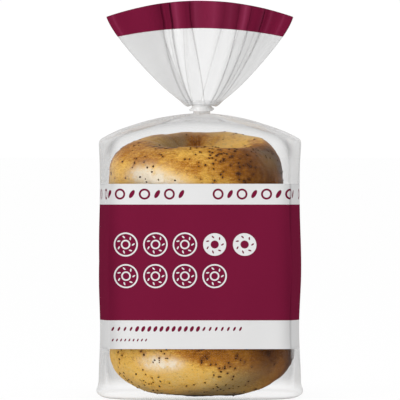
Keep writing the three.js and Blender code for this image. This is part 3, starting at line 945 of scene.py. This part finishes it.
def fanFields(across, through, rise, share, isPanel, near, lap):
    # Haze and painted shade follow the dark streaks of the front, the outer parts and fine stripes of both
    # panels, and the pleats. The neck is hazy too, gleam paints highlights along the light streaks, and the
    # stem is the lowest row.
    look = fanLook
    dark, light = (part * isPanel * (through < 0) for part in paintedStreaksAt(across, share))
    acrossSpan, riseSpan = look["stripeSpans"]
    laidOut = np.stack([acrossSpan * across, 0 * across, riseSpan * rise + 0 * across], -1)
    stripes = softNoise(laidOut, look["stripeSize"], look["stripeSeed"])
    outerPart = np.where(across > 0, look["rightPart"], look["leftPart"])
    isOuter = smoothStep(np.abs(across + look["outerShift"]), *look["outerPart"])
    isStriped = smoothStep(across, *look["stripedPart"])
    dark = dark + outerPart * isOuter * isPanel
    dark = dark + look["stripe"] * np.clip(stripes, 0, 1) * isStriped * isPanel
    aboveNeck = smoothStep(rise, 0, look["neckFull"])
    haze = look["cornerHaze"] * np.clip(near, 0, 1) * aboveNeck + look["neckHaze"] * (1 - aboveNeck)
    haze = haze + look["baseHaze"] + look["streakHaze"] * dark
    shade = look["streakShade"] * dark + look["lapShade"] * np.clip(lap, 0, 1)
    shade = shade * (1 - look["lightEase"] * light)
    fields = {"haze": np.clip(haze, 0, filmHaze["most"]), "shade": np.clip(shade, 0, 1),
              "gleam": np.clip(light, 0, 1)}
    stemRows = bagFan["stemRows"]
    return {name: np.concatenate([np.repeat(part[:1], stemRows, 0), part]) for name, part in fields.items()}


def fanCoordinates(height):
    # share of the way round the mouth, and height without the droop of the tips
    height = np.concatenate([height, height[:, :1]], 1)
    return np.stack([np.broadcast_to(np.linspace(0, 1, height.shape[1]), height.shape), height])


# The printed film material

# the light maroon is a painted highlight: the gleam field pales the maroon ink towards it
filmLook = {
    "maroon": (0.157, 0.0088, 0.035, 1), "maroonHighlight": (0.30, 0.045, 0.105, 1), "maroonGleam": 0.6,
    "white": (0.67, 0.67, 0.67, 1), "haze": (0.84, 0.84, 0.84, 1), "inkCover": 0.99, "printSlope": 0.035,
    "lowWhite": 30.0, "lowMaroon": 46.5, "highMaroon": 113.2, "highWhite": 125.1, "fanMaroon": 213.7,
    "clearTint": (0.96, 0.96, 0.96, 1), "hazeBase": 0.002, "printRoughness": 0.6, "clearRoughness": 0.16,
    "sheenFace": 0.0015, "sheenEdge": 0.40, "sheenPower": 3.5, "glossColour": (0.86, 0.86, 0.86, 1),
    "crinkleScale": 38, "crinkleDetail": 3, "crinkleRoughness": 0.55, "crinkleStrength": 0.12,
    "crinkleDepth": 1.5, "seedSoftness": 0.15,
    "iconPitch": 16.8, "iconStart": -42.0, "iconRows": (90.2, 72.0), "iconRadius": 6.5, "iconHole": 2.3,
    "iconLine": 0.85, "iconSeeds": 7, "iconSeed": (0.95, 0.42, 35), "upperIcons": 5, "lowerIcons": 4,
    "upperDrawn": 3, "borderHeight": 119.2, "borderGroups": 6, "borderCells": 10, "borderRing": 2.6,
    "borderLine": 1.15, "borderSeed": (2.6, 1.2, 60), "rowHeight": 41.6, "rowPitch": 3.5, "rowFrom": -50.0,
    "rowTo": 26.0, "rowSeed": (1.35, 0.6, 62), "boldFrom": -37.5, "boldTo": 1.5, "boldSeed": (1.75, 0.95, 62),
    "smallRowHeight": 35.2, "smallRowPitch": 2.4, "smallRowTo": -30.0, "smallSeed": (0.9, 0.42, 62),
}


def edgeMask(distance, soft=0.12):
    # 1 where the distance is above 0, with a soft edge
    return calc("MULTIPLY_ADD", distance, 1 / soft, 0.5, clamp=True)


def bandMask(value, low, high):
    # 1 between low and high: the mask above low times the mask below high
    return times(edgeMask(minus(value, low)), edgeMask(minus(high, value)))


def ringMask(radius, middle, line):
    # 1 where the radius is within half a line of the middle one
    return edgeMask(minus(line / 2, calc("ABSOLUTE", minus(radius, middle))))


def lengthOf(x, y):
    # the square root of x squared plus y squared
    return calc("SQRT", plus(times(x, x), times(y, y)))


def cellPlace(value, start, pitch):
    # the number of the cell that a value falls in, and the distance from that cell's middle
    steps = over(minus(value, start), pitch)
    number = calc("ROUND", steps)
    return number, times(minus(steps, number), pitch)


def slantedSeed(x, y, sizes):
    # an ellipse of two half lengths, turned by the slant in degrees
    long, wide, slant = sizes
    c, s = math.cos(math.radians(slant)), math.sin(math.radians(slant))
    along = plus(times(x, c / long), times(y, s / long))
    aside = plus(times(x, -s / wide), times(y, c / wide))
    return edgeMask(minus(1.0, lengthOf(along, aside)), filmLook["seedSoftness"])


def iconMask(around, up):
    # rows of line-drawn bagels with seeds on them, the last two of the upper row filled in
    look = filmLook
    high, low = look["iconRows"]
    number, x = cellPlace(around, look["iconStart"], look["iconPitch"])
    upper = calc("GREATER_THAN", up, (high + low) / 2)
    y = minus(up, fade(upper, low, high))
    radius = lengthOf(x, y)
    rim = ringMask(radius, look["iconRadius"], look["iconLine"])
    hole = ringMask(radius, look["iconHole"], look["iconLine"])
    sector = 2 * math.pi / look["iconSeeds"]
    turn = plus(calc("ARCTAN2", y, x), math.pi)
    turn = minus(calc("MODULO", turn, sector), sector / 2)
    seedX = minus(times(radius, calc("COSINE", turn)), (look["iconHole"] + look["iconRadius"]) / 2)
    seeds = slantedSeed(seedX, times(radius, calc("SINE", turn)), look["iconSeed"])
    filled = times(bandMask(radius, look["iconHole"], look["iconRadius"]), minus(1.0, seeds))
    isFilled = times(upper, calc("GREATER_THAN", number, look["upperDrawn"] - 0.5))
    last = fade(upper, look["lowerIcons"] - 0.5, look["upperIcons"] - 0.5)
    shown = times(calc("GREATER_THAN", number, -0.5), calc("LESS_THAN", number, last))
    return times(fade(isFilled, greatest(rim, hole, seeds), filled), shown)


def borderMask(around, up, perimeter):
    # small rings and seeds by turns, in groups with a gap between
    look = filmLook
    cell = perimeter / look["borderGroups"] / look["borderCells"]
    number, x = cellPlace(around, cell / 2, cell)
    y = minus(up, look["borderHeight"])
    inGroup = calc("FLOORED_MODULO", number, look["borderCells"])
    ring = ringMask(lengthOf(x, y), look["borderRing"], look["borderLine"])
    seed = slantedSeed(x, y, look["borderSeed"])
    shown = times(calc("GREATER_THAN", inGroup, 0.5), calc("LESS_THAN", inGroup, look["borderCells"] - 1.5))
    return times(fade(calc("FLOORED_MODULO", number, 2), seed, ring), shown)


def seedRowMask(around, up, height, pitch, end, sizes):
    # slanted seeds at one height, one in each cell of the pitch, from the row's start to its end
    x = cellPlace(around, filmLook["rowFrom"], pitch)[1]
    shown = bandMask(around, filmLook["rowFrom"] - pitch / 2, end)
    return times(slantedSeed(x, minus(up, height), sizes), shown)


def makeFilm(perimeter):
    # Ink covers the film in bands and marks laid out on its print map, and haze covers it elsewhere. What
    # neither covers is clear, with a sheen that grows to the edges by a power of the facing. The shade field
    # darkens ink and haze towards black as painted shade. The gleam field is a painted highlight that pales
    # the maroon and lifts the clear tint to white.
    look = filmLook
    material, tree = newMaterial("printedFilm")
    split = addNode(tree, "SeparateXYZ", {0: addNode(tree, "UVMap", uv_map="print").outputs[0]})
    around, up = split.outputs[0], split.outputs[1]
    half = perimeter / 2
    panel = minus(calc("FLOORED_MODULO", plus(around, half / 2), half), half / 2)

    maroonBand = bandMask(up, look["lowMaroon"], look["highMaroon"])
    bodyPrint = bandMask(up, look["lowWhite"], look["highWhite"])
    fanBand = edgeMask(minus(up, look["fanMaroon"]))
    printed = greatest(bodyPrint, fanBand)
    icons = times(iconMask(panel, up), maroonBand)
    wide, bold = (seedRowMask(panel, up, look["rowHeight"], look["rowPitch"], look["rowTo"], look[seed])
                  for seed in ("rowSeed", "boldSeed"))
    bold = times(bandMask(panel, look["boldFrom"], look["boldTo"]), bold)
    small = seedRowMask(panel, up, look["smallRowHeight"], look["smallRowPitch"], look["smallRowTo"],
                        look["smallSeed"])
    marks = greatest(wide, bold, small, borderMask(around, up, perimeter))
    maroonShare = minus(greatest(maroonBand, fanBand, marks), icons, clamp=True)
    # gleam is a painted highlight: it pales the maroon and lifts the clear tint towards white
    gleam = attributeValue(tree, "gleam")
    maroon = fadeColours(times(gleam, look["maroonGleam"]), look["maroon"], look["maroonHighlight"])
    ink = fadeColours(maroonShare, look["white"], maroon)
    # shade is painted shade: it darkens ink and haze towards black
    colour = fadeColours(attributeValue(tree, "shade"), fadeColours(printed, look["haze"], ink), (0, 0, 0, 1))

    facing = addNode(tree, "LayerWeight", {"Blend": 0.5}).outputs["Facing"]
    sheen = plus(times(calc("POWER", facing, look["sheenPower"]), look["sheenEdge"]), look["sheenFace"])
    sheen = times(sheen, minus(1.0, attributeValue(tree, "calm")))
    veil = plus(attributeValue(tree, "haze"), look["hazeBase"])
    cover = calc("MAXIMUM", veil, times(printed, look["inkCover"]), clamp=True)

    normal = grain(objectCoordinates(tree), look["crinkleScale"], look["crinkleDetail"],
                   look["crinkleRoughness"], look["crinkleStrength"], look["crinkleDepth"])["Normal"]
    surface = addNode(tree, "BsdfPrincipled", {"Base Color": colour, "Roughness": look["printRoughness"],
                                               "Specular IOR Level": 0.0, "Normal": normal})
    clear = addNode(tree, "BsdfTransparent", {"Color": fadeColours(gleam, look["clearTint"], (1, 1, 1, 1))})
    gloss = addNode(tree, "BsdfGlossy", {"Color": look["glossColour"], "Roughness": look["clearRoughness"],
                                         "Normal": normal})
    finish(tree, fadeShaders(cover, fadeShaders(sheen, clear, gloss), surface))
    return material


# The tie round the neck

neckTie = {
    "radius": 5.75, "shift": 1.1, "bottom": 165.5, "height": 3.6, "wall": 0.25, "columns": 180, "rows": 26,
    "waist": 0.25, "crinkle": 0.06, "crinkleCount": 17, "crinkleSlant": 5,
    "endReach": 1.7, "endWidth": 0.10, "endTaper": 1.0,
    "ends": ((178, 0.22), (2, 0.36)), "tones": ((0.80, 0.80, 0.80, 1), (0.92, 0.92, 0.92, 1)),
    "streakScale": 700, "streakStrength": 0.2, "streakDepth": 0.3, "roughness": 0.25,
    "clearest": 0.65, "alphaSpread": 0.2,
}


def tieGrid():
    # a short tube, waisted at mid height, with a pinched point at each side that tapers up and down
    t = neckTie
    angle = np.linspace(0, 2 * math.pi, t["columns"], endpoint=False)[None, :]
    share = np.linspace(0, 1, t["rows"])[:, None]
    radius = t["radius"] - t["waist"] * np.sin(math.pi * share) + 0 * angle
    for degrees, level in t["ends"]:
        apart = np.radians(np.abs(apartFrom(angle, degrees)))
        taper = bellAt(share * t["height"], level * t["height"], t["endTaper"])
        radius = radius + t["endReach"] * np.exp(-apart / t["endWidth"]) * taper
    crinkle = np.sin(t["crinkleCount"] * angle + t["crinkleSlant"] * share)
    radius = radius + t["crinkle"] * crinkle * np.sin(math.pi * share)
    z = t["bottom"] + t["height"] * share + 0 * angle
    return np.stack([radius * np.cos(angle) + t["shift"], radius * np.sin(angle), z], -1)


def makeTieMaterial():
    # noise in streaks fades a pale grey into a paler one, and makes the band more or less clear
    t = neckTie
    material, tree = newMaterial("clearBand")
    streaks = grain(objectCoordinates(tree), t["streakScale"], 2, strength=t["streakStrength"],
                    distance=t["streakDepth"])
    finish(tree, addNode(tree, "BsdfPrincipled", {
        "Base Color": fadeColours(streaks["Mask"], *t["tones"]), "Roughness": t["roughness"],
        "Normal": streaks["Normal"], "Alpha": plus(times(streaks["Mask"], t["alphaSpread"]), t["clearest"]),
    }))
    return material


# Build

crust = makeCrust()
seedCentres, seedNormals, contents = [], [], []
for one in stack:
    grid, fields = bagelGrid(one)
    centres, normals, halo = seedPlaces(one, grid)
    fields["bakeAndPaintedShade"] = fields["bakeAndPaintedShade"] + seedLook["haloBake"] * halo
    bagel = gridPiece(one["name"], grid, joinRows=True, fields=fields)
    bagel.data.materials.append(crust)
    contents.append(bagel)
    seedCentres.append(centres)
    seedNormals.append(normals)
seeds = makeSeeds(np.vstack(seedCentres), np.vstack(seedNormals))
seeds.data.materials.append(makeSeedMaterial())
print("bagels and", sum(len(c) for c in seedCentres), "seeds made")

bodyPoints, bodyValues = bodyGrid()
bodyUv, perimeter = bodyCoordinates(bodyPoints)
bodyFilm = gridPiece("bag_film", bodyPoints, closeFirst=True, uv=bodyUv, fields=bodyValues)
fanPoints, fanValues, fanHeight = fanGrid()
fanFilm = gridPiece("fan_film", fanPoints, uv=fanCoordinates(fanHeight), fields=fanValues)
film = makeFilm(perimeter)
for piece, sizes in ((bodyFilm, bagBody), (fanFilm, bagFan)):
    giveThickness(piece, sizes["thickness"])
    piece.data.materials.append(film)
print("film made, perimeter", round(perimeter), "mm")

tie = gridPiece("clear_band", tieGrid())
giveThickness(tie, neckTie["wall"])
tie.data.materials.append(makeTieMaterial())

for piece in (*contents, seeds, bodyFilm, fanFilm, tie):
    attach(piece, "root")
for piece in (*contents, seeds, bodyFilm, fanFilm):
    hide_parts("bag")
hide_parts("neck_tie")
print("tie made, pieces placed on the frame")


# Studio

studio = {
    "floorHalf": 4500.0, "floorColour": (0.90, 0.90, 0.90, 1), "floorRoughness": 0.9, "floorGlow": 0.92,
    "backdrop": 1.01, "ambient": 0.85, "lampTarget": (0, 0, 0.11),
    "mmPerPixel": 0.58, "frameSide": 400, "cameraDistance": 6.0, "cameraHeight": 2.0, "sensorWidth": 36,
    "frameMiddleX": 200.0, "objectMiddleX": 199.75, "mouthPixel": 1.0,
}

# name, degrees round from the front (left is negative), degrees up, distance, size, watts
lamps = (
    ("keyBox", -48, -1, 1.0, 0.36, 4.9),
    ("topBox", 0, 72, 1.3, 0.6, 2.9),
)


def makeFloor():
    # a pale floor that the camera sees almost as bright as the backdrop
    half = studio["floorHalf"]
    floor = meshPiece("floor", [(-half, -half, 0), (half, -half, 0), (half, half, 0), (-half, half, 0)],
                      [(0, 1, 2, 3)])
    material, tree = newMaterial("paleFloor")
    surface = addNode(tree, "BsdfPrincipled", {"Base Color": studio["floorColour"], "Specular IOR Level": 0.0,
                                               "Roughness": studio["floorRoughness"]})
    glow = addNode(tree, "Emission", {"Strength": studio["backdrop"]})
    seen = addNode(tree, "LightPath").outputs["Is Camera Ray"]
    finish(tree, fadeShaders(times(seen, studio["floorGlow"]), surface, glow))
    floor.data.materials.append(material)


def makeWorld():
    # soft white light from all round, and a white backdrop for the camera
    world = bpy.data.worlds.new("studio")
    bpy.context.scene.world = world
    world.use_nodes = True
    tree = world.node_tree
    tree.nodes.clear()
    ambient, backdrop = (addNode(tree, "Background", {"Color": (1, 1, 1, 1), "Strength": studio[name]})
                         for name in ("ambient", "backdrop"))
    seen = addNode(tree, "LightPath").outputs["Is Camera Ray"]
    addNode(tree, "OutputWorld", {"Surface": fadeShaders(seen, ambient, backdrop).outputs[0]})


def aimAt(name, data, place, target):
    # a lamp or camera at a place, turned to look along -Z at the target
    item = bpy.data.objects.new(name, data)
    bpy.context.scene.collection.objects.link(item)
    x, y, z = np.array(target) - np.array(place)
    item.location = tuple(place)
    item.rotation_euler = (math.atan2(math.hypot(x, y), -z), 0, math.atan2(-x, y))
    return item


def makeLamps():
    # a lamp stands off the target by its turn round it and its lift, as on a globe, and looks at it
    for name, degrees, height, distance, size, watts in lamps:
        lamp = bpy.data.lights.new(name, "AREA")
        lamp.shape = "SQUARE"
        lamp.size = size
        lamp.energy = watts
        turn, lift = math.radians(degrees), math.radians(height)
        away = np.array([math.sin(turn) * math.cos(lift), -math.cos(turn) * math.cos(lift), math.sin(lift)])
        aimAt(name, lamp, studio["lampTarget"] + away * distance, studio["lampTarget"])


def makeCamera():
    # a long lens far off, so that the frame's side is the photo's width in millimetres at the bag's middle
    s = studio
    pixel = s["mmPerPixel"] * mm
    tilt = math.radians(s["cameraHeight"])
    middleUp = cadBox[1][2] * math.cos(tilt) - (s["frameSide"] / 2 - s["mouthPixel"]) * pixel
    target = np.array([(s["frameMiddleX"] - s["objectMiddleX"]) * pixel, 0, middleUp / math.cos(tilt)])
    lens = bpy.data.cameras.new("camera")
    lens.sensor_width = s["sensorWidth"]
    lens.sensor_fit = "HORIZONTAL"
    lens.lens = s["sensorWidth"] * s["cameraDistance"] / (pixel * s["frameSide"])
    lens.clip_end = 100
    away = s["cameraDistance"] * np.array([0, -math.cos(tilt), math.sin(tilt)])
    bpy.context.scene.camera = aimAt("camera", lens, target + away, target)


makeFloor()
makeWorld()
makeLamps()
makeCamera()
scene = bpy.context.scene
scene.view_settings.view_transform = "Standard"
scene.cycles.transparent_max_bounces = 48
print("studio made")
